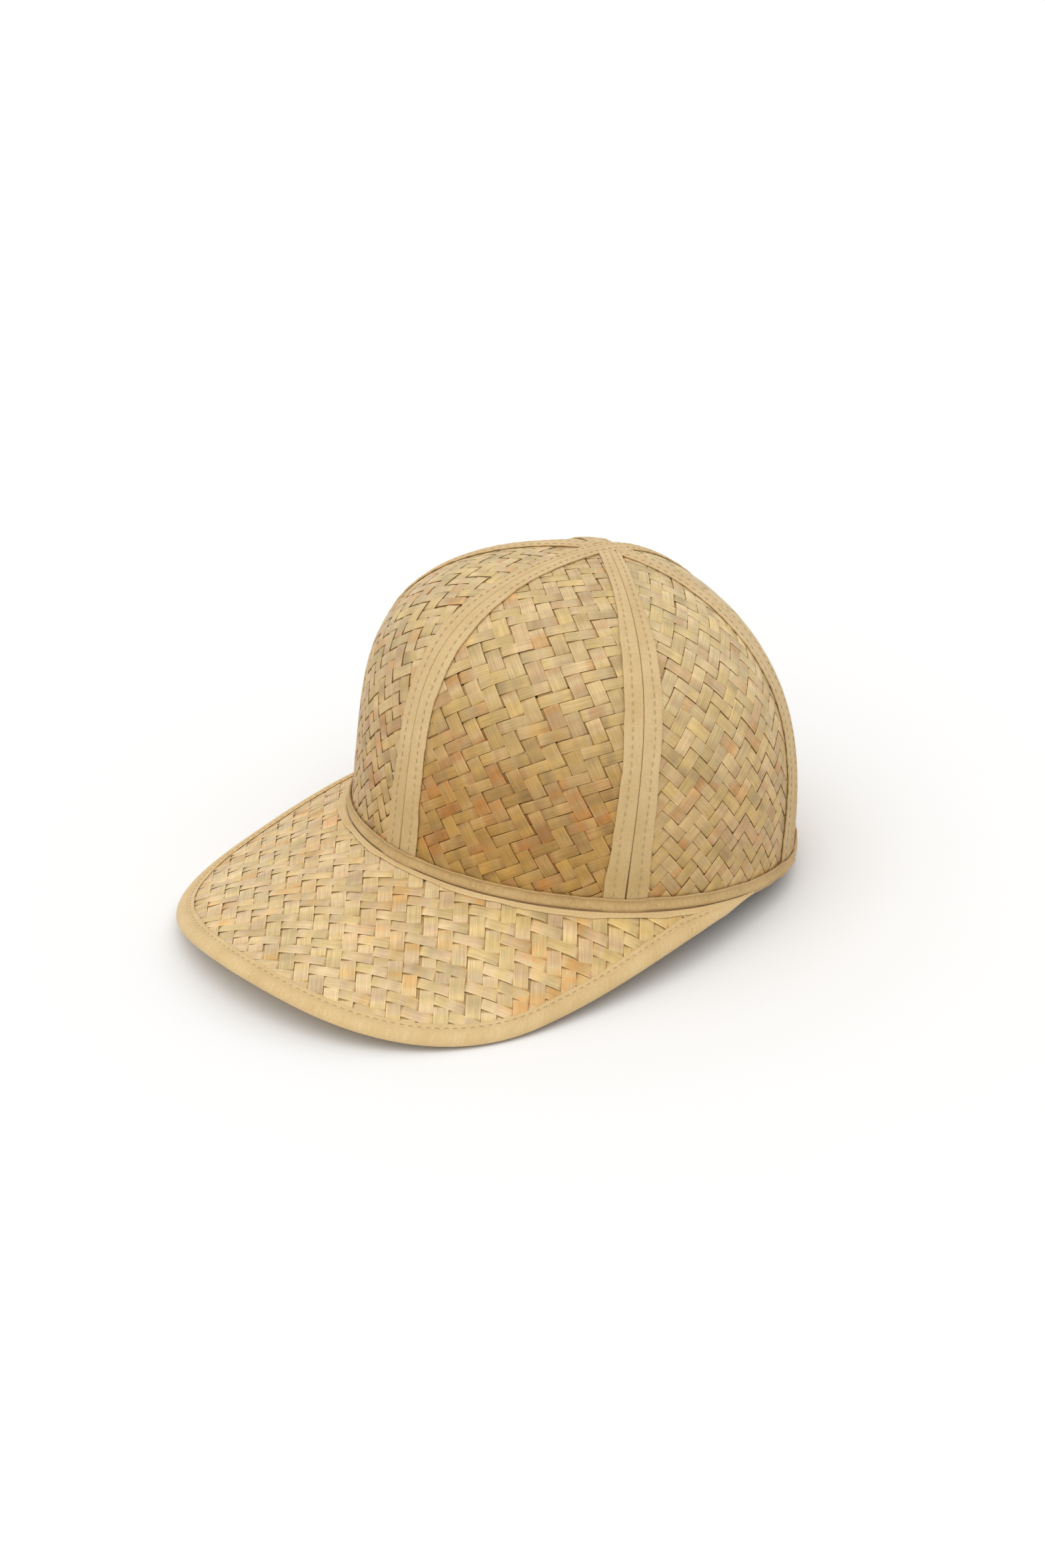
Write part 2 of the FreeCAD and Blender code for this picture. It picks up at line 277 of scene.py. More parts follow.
class Shader:
    """A material whose nodes are added one at a time."""

    def __init__(self, name):
        self.material = bpy.data.materials.new(name)
        self.material.use_nodes = True
        self.tree = self.material.node_tree
        self.surface = self.tree.nodes["Principled BSDF"]

    def add(self, kind, inputs=(), **settings):
        """Adds a node. inputs maps a socket's name or number to a value or another's output."""
        node = self.tree.nodes.new("ShaderNode" + kind)
        for key, value in settings.items():
            setattr(node, key, value)
        self.connect(node, dict(inputs))
        return node

    def connect(self, node, inputs):
        for key, value in inputs.items():
            if isinstance(value, bpy.types.NodeSocket):
                self.tree.links.new(value, node.inputs[key])
            else:
                node.inputs[key].default_value = value

    def math(self, operation, first, second=0.0):
        return self.add("Math", {0: first, 1: second}, operation=operation).outputs[0]

    def combine(self, x, y, z):
        return self.add("CombineXYZ", {0: x, 1: y, 2: z}).outputs[0]

    def noise(self, vector, scale=1.0, detail=2.0, roughness=0.5):
        inputs = {"Vector": vector, "Scale": scale, "Detail": detail, "Roughness": roughness}
        return self.add("TexNoise", inputs).outputs[0]

    def spread(self, value, low, high, to_low=0.0, to_high=1.0):
        inputs = {"Value": value, 1: low, 2: high, 3: to_low, 4: to_high}
        return self.add("MapRange", inputs).outputs[0]

    def ramp(self, factor, stops):
        node = self.add("ValToRGB", {"Fac": factor})
        elements = node.color_ramp.elements
        while len(elements) < len(stops):
            elements.new(0.5)
        for element, (place, colour) in zip(elements, stops):
            element.position = place
            element.color = (*colour, 1.0)
        return node.outputs[0]

    def mix(self, factor, first, second, blend="MIX"):
        inputs = {0: factor, 6: first, 7: second}
        node = self.add("Mix", inputs, data_type="RGBA", blend_type=blend)
        return node.outputs[2]

    def attribute(self, name):
        vector = self.add("Attribute", attribute_name=name).outputs["Vector"]
        return self.add("SeparateXYZ", {0: vector}).outputs

    def finish(self, colour, height, bump_distance, bump_strength, **constants):
        inputs = {"Strength": bump_strength, "Distance": bump_distance, "Height": height}
        normal = self.add("Bump", inputs).outputs[0]
        self.connect(self.surface, {"Base Color": colour, "Normal": normal})
        for key, value in constants.items():
            self.surface.inputs[key.replace("_", " ")].default_value = value
        return self.material


WHITE = (1.0, 1.0, 1.0, 1.0)
# Painted shade: what the strips' colour is multiplied by where they dive under the others.
RECESS_SHADE = (0.72, 0.60, 0.44, 1.0)


def straw_material(name, pale, deep, scorched, tints):
    """Flat straw: a tint for each stretch of each strip, with fibres along it.

    The strand attribute is (along the strip in mm, across it from -1 to 1, a seed for the
    strip). The stain and shade attribute is (how deep the straw's colour is there, partly its own
    colour and partly painted light and shade, how scorched it is, and which side of the mat the
    strip is on, from -1 for the hidden side to 1, which sets the painted shade where it dives).
    """
    shader = Shader(name)
    along, across, seed = shader.attribute("strand")
    depth_and_shade, scorch, side = shader.attribute("stain_and_shade")
    row = shader.math("MULTIPLY", seed, 61.0)
    tone_at = shader.combine(shader.math("MULTIPLY", along, 0.055), row, 0.0)
    tone = shader.noise(tone_at, 1.0, 2.5, 0.6)
    value_at = shader.combine(shader.math("MULTIPLY", along, 0.09), 7.0, row)
    value = shader.spread(shader.noise(value_at, 1.0, 2.0, 0.5), 0.3, 0.7, 0.80, 1.22)
    blotch_at = shader.combine(shader.math("MULTIPLY", along, 0.2), across, row)
    blotch = shader.noise(blotch_at, 1.0, 3.0, 0.6)
    fibre_at = shader.combine(
        shader.math("MULTIPLY", along, 0.06), shader.math("MULTIPLY", across, 7.5), row
    )
    fibre = shader.noise(fibre_at, 1.0, 4.0, 0.65)
    colour = shader.mix(depth_and_shade, (*pale, 1.0), (*deep, 1.0))
    tint = shader.ramp(shader.spread(tone, 0.32, 0.68), tints)
    strength = shader.spread(depth_and_shade, 0.0, 0.9, 0.62, 1.0)
    tint = shader.mix(strength, WHITE, tint)
    colour = shader.mix(1.0, colour, tint, "MULTIPLY")
    burnt = shader.math("MULTIPLY", scorch, shader.spread(blotch, 0.4, 0.65))
    colour = shader.mix(burnt, colour, (*scorched, 1.0))
    streak = shader.spread(fibre, 0.3, 0.7, 0.78, 1.18)
    mottle = shader.spread(blotch, 0.3, 0.7, 0.92, 1.07)
    from_middle = shader.math("ABSOLUTE", across)
    rib = shader.spread(from_middle, 0.76, 0.90, 1.0, 1.14)
    # Painted shade: the colour darkens along each strip's long edges, where it meets its neighbours;
    # rib is a lighter band just inside them.
    edge = shader.math("MULTIPLY", rib, shader.spread(from_middle, 0.92, 1.0, 1.0, 0.60))
    shade = shader.math("MULTIPLY", shader.math("MULTIPLY", streak, value), edge)
    shade = shader.math("MULTIPLY", shade, mottle)
    colour = shader.mix(1.0, colour, shader.combine(shade, shade, shade), "MULTIPLY")
    # Painted shade: darker and browner where a strip dives under the other family, and on the mat's
    # hidden face.
    recess_shade = shader.mix(shader.spread(side, -0.7, 0.75), RECESS_SHADE, WHITE)
    colour = shader.mix(1.0, colour, recess_shade, "MULTIPLY")
    return shader.finish(
        colour, fibre, 0.0004, 0.35, Roughness=0.48, Sheen_Weight=0.05, Specular_IOR_Level=0.4
    )


# Heights above the table, in metres, between which the painted shade at a tape's foot fades away.
FOOT_LEVEL = 0.02
CREST_LEVEL = 0.085


def cloth_material(name, light, dark, thread_pitch, foot=WHITE):
    """Plain-woven cotton, with painted shade darkening it towards its foot.

    The cloth attribute is (along the cloth in mm, across it in mm, a seed for the piece).
    """
    shader = Shader(name)
    along, across, seed = shader.attribute("cloth")
    turns = 2 * math.pi / thread_pitch
    rising = shader.math("ADD", along, across)
    falling = shader.math("SUBTRACT", along, across)
    warp = shader.math("SINE", shader.math("MULTIPLY", rising, turns))
    weft = shader.math("SINE", shader.math("MULTIPLY", falling, turns))
    threads = shader.math("MULTIPLY", warp, weft)
    place = shader.combine(along, across, shader.math("MULTIPLY", seed, 40.0))
    slub = shader.noise(place, 0.9, 4.0, 0.65)
    cloud = shader.noise(place, 0.07, 2.0, 0.5)
    weighted = shader.math("MULTIPLY", slub, 0.7)
    mixed = shader.math("ADD", weighted, shader.math("MULTIPLY", cloud, 0.5))
    tone = shader.spread(mixed, 0.42, 0.76)
    colour = shader.mix(tone, (*dark, 1.0), (*light, 1.0))
    shade = shader.spread(threads, -1.0, 1.0, 0.93, 1.05)
    colour = shader.mix(1.0, colour, shader.combine(shade, shade, shade), "MULTIPLY")
    in_piece = shader.add("TexCoord").outputs["Object"]
    above_table = shader.add("SeparateXYZ", {0: in_piece}).outputs[2]
    # Painted shade: darker towards the foot of the piece, near the table.
    tint = shader.mix(shader.spread(above_table, FOOT_LEVEL, CREST_LEVEL), foot, WHITE)
    colour = shader.mix(1.0, colour, tint, "MULTIPLY")
    height = shader.math("ADD", shader.math("MULTIPLY", threads, 0.25), slub)
    return shader.finish(
        colour, height, 0.0003, 0.4, Roughness=0.86, Sheen_Weight=0.15, Specular_IOR_Level=0.25
    )


def plain_material(name, first, second, scale, roughness):
    """A mottled, matte surface in object space."""
    shader = Shader(name)
    place = shader.add("TexCoord").outputs["Object"]
    mottle = shader.noise(place, scale, 4.0, 0.6)
    colour = shader.mix(shader.spread(mottle, 0.3, 0.7), (*first, 1.0), (*second, 1.0))
    return shader.finish(colour, mottle, 0.0002, 0.3, Roughness=roughness)


# What the strips' colour is multiplied by, as (place in the spread of a noise, colour).
CROWN_TINTS = [
    (0.00, (0.82, 0.77, 0.63)),
    (0.14, (0.91, 0.89, 0.79)),
    (0.30, (1.12, 1.07, 0.76)),
    (0.46, (1.09, 1.07, 0.94)),
    (0.60, (1.17, 1.18, 1.20)),
    (0.74, (1.00, 0.88, 0.90)),
    (0.88, (1.09, 0.84, 0.60)),
    (1.00, (0.92, 0.66, 0.42)),
]
BRIM_TINTS = [
    (0.00, (0.84, 0.82, 0.66)),
    (0.18, (0.96, 0.96, 0.84)),
    (0.34, (1.08, 1.03, 0.74)),
    (0.50, (1.12, 1.13, 1.16)),
    (0.64, (1.05, 0.95, 1.06)),
    (0.78, (1.05, 0.97, 0.76)),
    (0.90, (1.08, 0.82, 0.46)),
    (1.00, (1.00, 0.72, 0.36)),
]
crown_straw = straw_material(
    "crown_straw", (0.615, 0.468, 0.250), (0.40, 0.238, 0.073), (0.45, 0.17, 0.04), CROWN_TINTS
)
brim_straw = straw_material(
    "brim_straw", (0.665, 0.503, 0.270), (0.55, 0.37, 0.14), (0.70, 0.36, 0.11), BRIM_TINTS
)
# Painted shade: what a seam tape's colour is multiplied by at its foot, near the hem.
TAPE_FOOT_SHADE = (0.81, 0.78, 0.66, 1.0)
TAPE_THREADS = 0.55
BAND_THREADS = 0.8
tape_cloth = cloth_material(
    "seam_cloth", (0.72, 0.53, 0.28), (0.60, 0.415, 0.19), TAPE_THREADS, TAPE_FOOT_SHADE
)
brim_cloth = cloth_material("brim_cloth", (0.76, 0.56, 0.29), (0.64, 0.445, 0.20), TAPE_THREADS)
hem_cloth = cloth_material("hem_cloth", (0.62, 0.43, 0.195), (0.47, 0.30, 0.12), TAPE_THREADS)
band_cloth = cloth_material("sweatband_cloth", (0.66, 0.52, 0.33), (0.56, 0.42, 0.25), BAND_THREADS)
# Thread darker than the cloth: partly its own colour, partly painted shade of the needle holes that
# the stitches sit in.
thread_and_hole_shade = plain_material("thread_and_hole_shade", (0.40, 0.285, 0.14), (0.50, 0.37, 0.20), 900.0, 0.7)
board = plain_material("stiffener_board", (0.46, 0.36, 0.21), (0.38, 0.29, 0.16), 160.0, 0.8)


# ---- Weaving ----------------------------------------------------------------------------------

# A strip's section, as (share of its half width across, share of its thickness up).
STRIP_SECTION = np.array(
    [
        (-1, 0.12),
        (-0.93, 0.42),
        (0, 0.5),
        (0.93, 0.42),
        (1, 0.12),
        (0.93, -0.4),
        (0, -0.5),
        (-0.93, -0.4),
    ]
)
STRIP_THICKNESS = 0.36
# How far a strip's middle is from the mat's, over and under the other family.
STRIP_LIFT = 0.25
# Half the share of a crossing over which a strip changes sides, and where its sections lie.
DIVE = 0.17
RING_SHARES = np.array([0.0, 0.085, 0.17, 0.5, 0.83, 0.915])
# The length of the longest strip, which bounds every mat.
REACH = 260.0
SHORTEST_RUN = 2.5
END_GAP = 0.15
STRIP_WANDER = 0.18
WANDER_LENGTH = 60.0
# The least change of a margin per millimetre that skews a strip's end, and the longest skew.
LEAST_RATE = 0.35
LONGEST_SKEW = 6.0


class Weave:
    """Two families of flat strips, each passing over two and under two of the other."""

    def __init__(self, angles, pitches, twill, seed, cover=1.0, slips=0.015):
        self.random = np.random.default_rng(seed)
        self.along = [np.array([math.cos(a), math.sin(a)]) for a in np.radians(angles)]
        self.normal = [np.array([-math.sin(a), math.cos(a)]) for a in np.radians(angles)]
        self.pitches = pitches
        self.cover = cover
        self.count = int(REACH / min(pitches))
        index = np.arange(2 * self.count)
        slip = self.random.choice([0, 1, -1], size=2 * self.count, p=[1 - 2 * slips, slips, slips])
        row = twill * index + np.cumsum(slip)
        over = (row[:, None] + index[None, :]) % 4 < 2
        self.side = np.where(over, 1.0, -1.0)

    def height(self, family, strip, phase):
        """1 where a strip lies over the other family, -1 where it lies under it."""
        place = phase + self.count - 0.5
        first = np.clip(np.floor(place).astype(int), 0, 2 * self.count - 2)
        share = smooth(place - first, 0.5 - DIVE, 0.5 + DIVE)
        own = strip + self.count
        sides = self.side[own] if family == 0 else -self.side[:, own]
        return sides[first] * (1 - share) + sides[first + 1] * share

    def strip(self, family, index, place, margin):
        """The runs of one strip within the mat, each as (sections, strand, side of the mat)."""
        pitch = self.pitches[family]
        along, normal = self.along[family], self.normal[family]
        across, other = self.normal[1 - family], self.pitches[1 - family]
        seed = self.random.random()
        shift = self.random.normal(0, 0.035) * pitch
        half_width = pitch * self.cover * self.random.uniform(0.472, 0.515)
        puff = self.random.uniform(0.85, 1.12)
        origin = normal * ((index + 0.5) * pitch + shift)
        travel = np.arange(-REACH / 2, REACH / 2, 1.0)
        inside = margin(*(origin + travel[:, None] * along).T) > 0
        starts = np.flatnonzero(inside[1:] & ~inside[:-1])
        ends = np.flatnonzero(inside[:-1] & ~inside[1:])
        rate = (along @ across) / other
        base = (origin @ across) / other
        for start, end in zip(starts, ends):
            low, high = (self.edge(origin, along, margin, travel[k]) for k in (start, end))
            if high - low < SHORTEST_RUN:
                continue
            phases = sorted((base + low * rate, base + high * rate))
            cells = np.arange(math.floor(phases[0]), math.ceil(phases[1]))
            stops = ((cells[:, None] + RING_SHARES).ravel() - base) / rate
            stops = np.sort(stops[(stops > low + END_GAP) & (stops < high - END_GAP)])
            stops = np.concatenate([[low], stops, [high]])
            lateral = STRIP_SECTION[:, 0] * half_width
            ends_at = [
                self.skew(origin + along * end_at, along, normal, lateral, margin)
                for end_at in (low, high)
            ]
            rails = np.repeat(stops[:, None], len(lateral), axis=1)
            rails[0] += ends_at[0]
            rails[-1] += ends_at[1]
            rails = np.clip(rails, low + ends_at[0], high + ends_at[1])
            wander = STRIP_WANDER * ripple(rails, WANDER_LENGTH, int(seed * 1e6))
            flat = origin + rails[..., None] * along + (lateral + wander)[..., None] * normal
            phase = base + stops * rate
            side = self.height(family, index, phase)[:, None]
            lift = side * STRIP_LIFT * puff + STRIP_SECTION[:, 1] * STRIP_THICKNESS
            sections = place(flat[..., 0], flat[..., 1], lift)
            shares = np.broadcast_to(side, rails.shape)
            yield sections, stack(rails, STRIP_SECTION[:, 0], seed), shares

    @staticmethod
    def edge(origin, along, margin, start):
        """Where a strip crosses the mat's edge, within the millimetre after start."""
        values = margin(*(origin + np.array([[start], [start + 1.0]]) * along).T)
        return start + values[0] / (values[0] - values[1])

    @staticmethod
    def skew(end, along, normal, lateral, margin):
        """How much further each rail of a strip goes, to end on the mat's edge."""
        rate = (margin(*(end + 0.5 * along)) - margin(*(end - 0.5 * along))).item()
        rate = math.copysign(max(abs(rate), LEAST_RATE), rate)
        values = margin(*(end + lateral[:, None] * normal).T)
        return np.clip(-values / rate, -LONGEST_SKEW, LONGEST_SKEW)


def weave_mat(name, weave, place, margin, material, replaced, stain_and_shade, facing=1):
    """Weaves a mat, whose visible face is its upper one where facing is 1 or lower where -1."""
    shapes, strands, stains_and_shades = [], [], []
    for family in (0, 1):
        for index in range(-weave.count // 2, weave.count // 2):
            for sections, strand, side in weave.strip(family, index, place, margin):
                shapes.append(loft(sections))
                strands.append(strand.reshape(-1, 3))
                depth_and_shade, scorch = stain_and_shade(sections.reshape(-1, 3))
                # The third value sets where painted shade falls, on strips that lie under the
                # others.
                stains_and_shades.append(stack(depth_and_shade, scorch, facing * side.ravel()))
    attributes = {"strand": np.concatenate(strands), "stain_and_shade": np.concatenate(stains_and_shades)}
    return make_piece(name, joined(shapes), material, replaced, attributes)


# ---- Crown panels -----------------------------------------------------------------------------

# A panel's mat is laid on the crown from this height on its axis, as an equidistant map.
MAT_CENTRE = np.array([0.0, 0.0, 28.0])
MAT_RADIUS = 96.0
MAT_ELEVATION = math.radians(22.0)
MID_WEAVE = -WEAVE / 2


def panel_place(bearing):
    """A function that lays a point of a flat mat, to the right of and above a panel's middle."""
    level, rise = math.cos(MAT_ELEVATION), math.sin(MAT_ELEVATION)
    outward = np.array([level * math.sin(bearing), -level * math.cos(bearing), rise])
    right = np.array([math.cos(bearing), math.sin(bearing), 0.0])
    upward = np.cross(right, -outward)

    def place(x, y, lift):
        angle = np.hypot(x, y) / MAT_RADIUS
        spread = np.sinc(angle / math.pi)[..., None] / MAT_RADIUS
        aside = (x[..., None] * right + y[..., None] * upward) * spread
        return on_crown(MAT_CENTRE, outward * np.cos(angle)[..., None] + aside, MID_WEAVE + lift)

    return place


def tape_width(height):
    """A tape is widest at the hem, even over most of its length and pinched near the apex."""
    share = np.clip(height / HEIGHT, 0.0, 1.0)
    return TAPE_LOW - 1.4 * smooth(share, 0.0, 0.45) - 2.8 * smooth(share, 0.78, 1.0)


def panel_margin(bearing, place):
    """Positive within a panel's mat, whose edges lie hidden under the tapes and the hem."""
    seams = (bearing - PANEL_SWEEP / 2, bearing + PANEL_SWEEP / 2)

    def margin(x, y):
        x, y = np.atleast_1d(x), np.atleast_1d(y)
        points = place(x, y, np.zeros_like(x))
        hidden = tape_width(points[:, 2]) * 0.35
        first = math.cos(seams[0]) * points[:, 0] + math.sin(seams[0]) * points[:, 1]
        last = -math.cos(seams[1]) * points[:, 0] - math.sin(seams[1]) * points[:, 1]
        near = np.hypot(x, y) < 2.2 * MAT_RADIUS
        edge = np.minimum(np.minimum(first, last) - hidden, points[:, 2] - 1.6)
        return np.where(near, edge, -1.0)

    return margin


# Each panel: its middle's bearing over 60 degrees, the two families' angles and pitches, which
# way the twill's ribs run, how deep its colour is at its foot and its crest (partly its own
# colour, partly painted light and shade), its scorching, and how much of the mat the strips cover.
PANELS = {
    "front_left_panel": (0.5, (29, -53), (4.6, 6.1), 1, (1.00, 0.22), 0.60, 0.99),
    "side_left_panel": (1.5, (49, -47), (5.6, 5.2), -1, (0.60, 0.00), 0.14, 0.98),
    "back_left_panel": (2.5, (42, -50), (5.0, 5.8), 1, (0.55, 0.05), 0.20, 0.99),
    "back_right_panel": (3.5, (50, -42), (5.8, 5.0), -1, (0.50, 0.04), 0.16, 0.98),
    "side_right_panel": (4.5, (47, -49), (5.2, 5.6), 1, (0.52, 0.04), 0.16, 0.99),
    "front_right_panel": (5.5, (44, -56), (4.8, 5.8), -1, (0.62, 0.12), 0.12, 0.94),
}


# Browned patches: their size, and how many a panel and the brim have.
PATCH_RADIUS = 6.5
PANEL_PATCHES = 11
BRIM_PATCHES = 26


def scattered(points, spots, radius):
    """1 near any of the spots, fading to 0 away from them."""
    nearest = np.full(len(points), np.inf)
    for spot in spots:
        nearest = np.minimum(nearest, np.linalg.norm(points - spot, axis=1))
    return np.exp(-((nearest / radius) ** 2))


def crown_stain_and_shade(bearing, seed, depths_and_shade, scorching):
    """A function giving the depth of colour, partly painted light and shade that pales it towards
    the top, and scorching at points of a panel.
    """
    patches = np.random.default_rng(seed)
    bearings = bearing + patches.uniform(-0.42, 0.42, PANEL_PATCHES)
    spots = crown_ring(bearings, patches.uniform(6.0, 70.0, PANEL_PATCHES), 0.0)
    foot, crest = depths_and_shade

    def stain_and_shade(points):
        # Deeper at the foot and paler towards the crest: partly the straw's own colour, partly
        # painted light and shade from above.
        level = smooth(points[:, 2], 25.0, 112.0)
        depth_and_shade = foot * (1 - level) + crest * level
        return depth_and_shade, scorching * scattered(points, spots, PATCH_RADIUS)

    return stain_and_shade


for seed, (name, description) in enumerate(PANELS.items(), start=11):
    turn, angles, pitches, twill, depths_and_shade, scorching, cover = description
    bearing = turn * PANEL_SWEEP
    place = panel_place(bearing)
    weave_mat(
        name,
        Weave(angles, pitches, twill, seed, cover),
        place,
        panel_margin(bearing, place),
        crown_straw,
        [name],
        crown_stain_and_shade(bearing, seed, depths_and_shade, scorching),
    )


# ---- Brim -------------------------------------------------------------------------------------

# Where the flat mats' own origin lies along y, and where they end at either side.
BRIM_MIDDLE = -95.0
MAT_END = math.radians(86.0)


def brim_place(surface_lift):
    def place(x, y, lift):
        y = y + BRIM_MIDDLE
        growth = np.hypot(x / HALF_WIDTH, y / HALF_LENGTH)
        bearing = np.arctan2(x / HALF_WIDTH, -y / HALF_LENGTH)
        return stack(x, y, brim_height(growth, bearing) + surface_lift + lift)

    return place


def brim_margin(x, y):
    """Positive within a brim mat, whose edges lie hidden under the two bindings."""
    x, y = np.atleast_1d(x), np.atleast_1d(y) + BRIM_MIDDLE
    bearing = np.arctan2(x / HALF_WIDTH, -y / HALF_LENGTH)
    growth = np.hypot(x / HALF_WIDTH, y / HALF_LENGTH)
    distance = (growth - 1) * oval_radius(bearing) - HEM_OUT
    rim = rim_distance(bearing)
    hidden = np.minimum(3.2, 0.35 * np.maximum(rim, 0.0))
    edge = np.minimum(distance - 0.5 * hidden, rim - distance - hidden)
    return np.where(np.abs(bearing) < MAT_END, edge, -1.0)


def patches_toward_hem(points):
    """The browned straw lies mostly near the crown."""
    return 0.35 + 0.65 * smooth(points[:, 1], -140.0, -95.0)


def brim_stain(seed):
    """A function giving the depth of colour and scorching at points of the brim."""
    patches = np.random.default_rng(seed)
    spots = stack(
        patches.uniform(-90, 90, BRIM_PATCHES), patches.uniform(-150, -40, BRIM_PATCHES)
    )

    def stain_and_shade(points):
        scorch = scattered(points[:, :2], spots, PATCH_RADIUS)
        level = smooth(points[:, 1], -110.0, -40.0)
        return 0.05 + 0.5 * level, scorch * patches_toward_hem(points)

    return stain_and_shade


BRIM_WEAVE = {"angles": (33, -40), "pitches": (4.5, 5.9), "twill": 1, "cover": 0.985}
LOWER_MAT_LIFT = -2.1
BRIM_MATS = (("brim_top_mat", MID_WEAVE, 31, 1), ("brim_bottom_mat", LOWER_MAT_LIFT, 32, -1))
for name, lift, seed, facing in BRIM_MATS:
    weave_mat(
        name,
        Weave(seed=seed, **BRIM_WEAVE),
        brim_place(lift),
        brim_margin,
        brim_straw,
        [name],
        brim_stain(seed),
        facing,
    )


BOARD_TOP = -1.15
BOARD_BOTTOM = -1.5


def brim_board():
    """The thin board between the mats, as a grid of columns that runs from hem to rim."""
    bearing = np.linspace(-math.radians(84), math.radians(84), 120)[:, None]
    share = np.array([0.0, 0.2, 0.4, 0.6, 0.8, 1.0])[None, :]
    distance = 1.2 + (rim_distance(bearing) - 3.0) * share
    top = brim_point(bearing, distance, BOARD_TOP)
    below = brim_point(bearing, distance, BOARD_BOTTOM)
    return loft(np.concatenate([top, below[:, ::-1]], axis=1))


make_piece("brim_stiffener_board", brim_board(), board, ["brim_stiffener"])


# ---- Cloth pieces -----------------------------------------------------------------------------


def rounded(points):
    """Cuts the corners of an open line twice, so that it turns smoothly."""
    points = np.asarray(points, float)
    for _ in range(2):
        first = 0.75 * points[:-1] + 0.25 * points[1:]
        second = 0.25 * points[:-1] + 0.75 * points[1:]
        middle = np.stack([first, second], axis=1).reshape(-1, 2)
        points = np.concatenate([points[:1], middle[1:-1], points[-1:]])
    return points


def cloth_piece(name, sections, across, seed, material, closed=False):
    """A swept cloth strip, with the distances along and across it for its weave."""
    middle = sections.mean(axis=1)
    along = np.concatenate([[0.0], np.cumsum(np.linalg.norm(np.diff(middle, axis=0), axis=1))])
    cloth = stack(along[:, None], np.broadcast_to(across, sections.shape[:2]), float(seed))
    shape = loft(sections, closed)
    return make_piece(name, shape, material, [name], {"cloth": cloth.reshape(-1, 3)})


STITCH_RADIUS = 0.17
STITCH_SIDES = 6
STITCH_BED = 0.04
STITCH_ARCH = 0.22


def stitch_row(points, outward, length=2.3, gap=1.0):
    """Short rounded stitches lying along a line of points, each arched out of the cloth."""
    travel = np.concatenate([[0.0], np.cumsum(np.linalg.norm(np.diff(points, axis=0), axis=1))])
    shapes = []
    shares = np.linspace(0, 1, 6)
    turns = np.linspace(0, 2 * math.pi, STITCH_SIDES, endpoint=False)
    for start in np.arange(0.8, travel[-1] - length, length + gap):
        at = start + shares * length
        centre = np.stack([np.interp(at, travel, points[:, axis]) for axis in range(3)], axis=1)
        normal = np.stack([np.interp(at, travel, outward[:, axis]) for axis in range(3)], axis=1)
        arch = np.sin(math.pi * shares)
        centre = centre + normal * (STITCH_BED + STITCH_ARCH * arch - STITCH_ARCH)[:, None]
        tangent = np.gradient(centre, axis=0)
        tangent /= np.linalg.norm(tangent, axis=1, keepdims=True)
        side = np.cross(tangent, normal)
        up = np.cross(side, tangent)
        thick = STITCH_RADIUS * (0.35 + 0.65 * arch**0.5)
        ring = side[:, None] * np.cos(turns)[:, None] + up[:, None] * np.sin(turns)[:, None]
        shapes.append(loft(centre[:, None] + thick[:, None, None] * ring))
    return shapes


# A seam tape's outer face, from its free edge over the fold at the seam and back along the
# inside, as (distance from the seam as a share of the tape's width, offset).
TAPE_OUTER = rounded(
    [
        *((1.0, 0.02), (1.02, 0.45), (0.97, 0.74), (0.82, 0.80), (0.68, 0.66), (0.58, 0.52)),
        *((0.48, 0.66), (0.34, 0.88), (0.18, 0.86), (0.08, 0.98), (0.02, 0.80), (0.005, 0.2)),
        *((0.005, -1.4), (0.03, -1.75), (0.12, -1.85), (0.4, -1.8), (0.9, -1.8), (1.0, -1.7)),
    ]
)
TAPE_CLOTH = 0.42
# Where the rows of stitches run, as shares of the tape's width, and how high they are sewn.
TAPE_STITCH = 0.58
SECOND_STITCH = 0.3
STITCH_OFFSET = 0.66
# How far a seam's two tapes part at the hem.
PARTING = 0.2
# Sections along a tape, and its rough length, for each radian of elevation.
SECTIONS_PER_RADIAN = 95
MM_PER_RADIAN = 110


def hem_elevation(bearing):
    """Elevation at which a seam goes under the hem's binding."""
    return math.atan2(HEM_TOP - 2.2, oval_radius(bearing))


